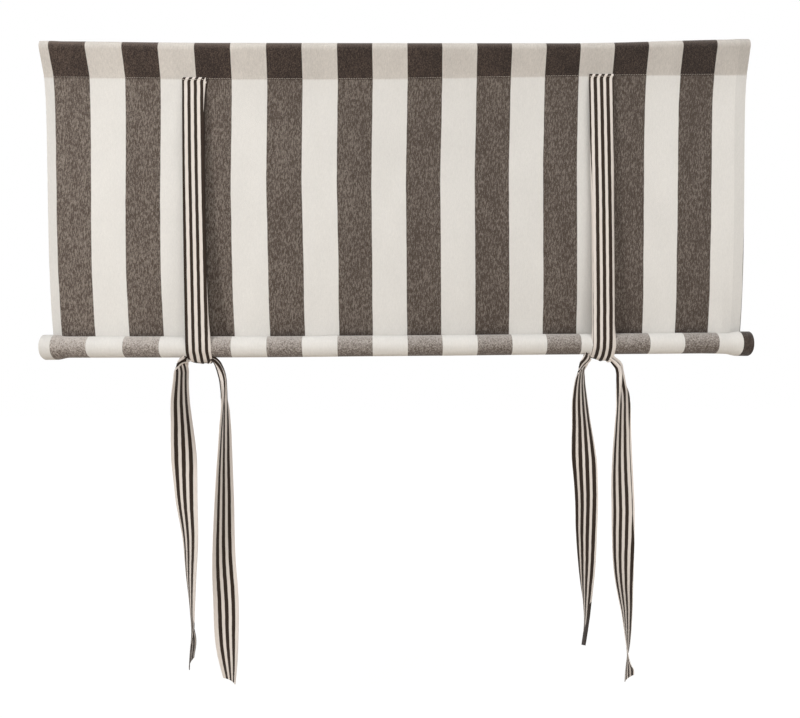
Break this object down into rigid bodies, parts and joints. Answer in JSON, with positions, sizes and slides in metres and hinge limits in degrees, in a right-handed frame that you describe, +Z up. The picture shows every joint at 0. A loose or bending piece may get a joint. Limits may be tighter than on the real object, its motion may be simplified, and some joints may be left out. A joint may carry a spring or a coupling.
{
  "type": "roll-up tie blind",
  "caption": "Striped cotton roll-up blind: open rod pocket along the top, flat panel, lower end wound round a dowel and held up by knotted tape ties with hanging tails.",
  "frame": {"origin": "middle of the rod pocket's axis, where the blind hangs on its rod", "axes": "+X along the rod to the right as seen from the front, +Y to the back (window side), +Z up"},
  "size_m": [1, 0.0425, 0.9127],
  "materials": {
    "striped_cotton": "woven cotton twill in wide dark brown and cream stripes",
    "striped_tape": "woven cotton tape in narrow dark brown and white stripes",
    "dowel_wood": "plain unvarnished pine"
  },
  "bodies": {
    "root": {"blind_cloth": "striped_cotton", "roll_dowel": "dowel_wood", "left_front_tie": "striped_tape", "left_back_tie": "striped_tape", "right_front_tie": "striped_tape", "right_back_tie": "striped_tape"}
  },
  "joints": []
}
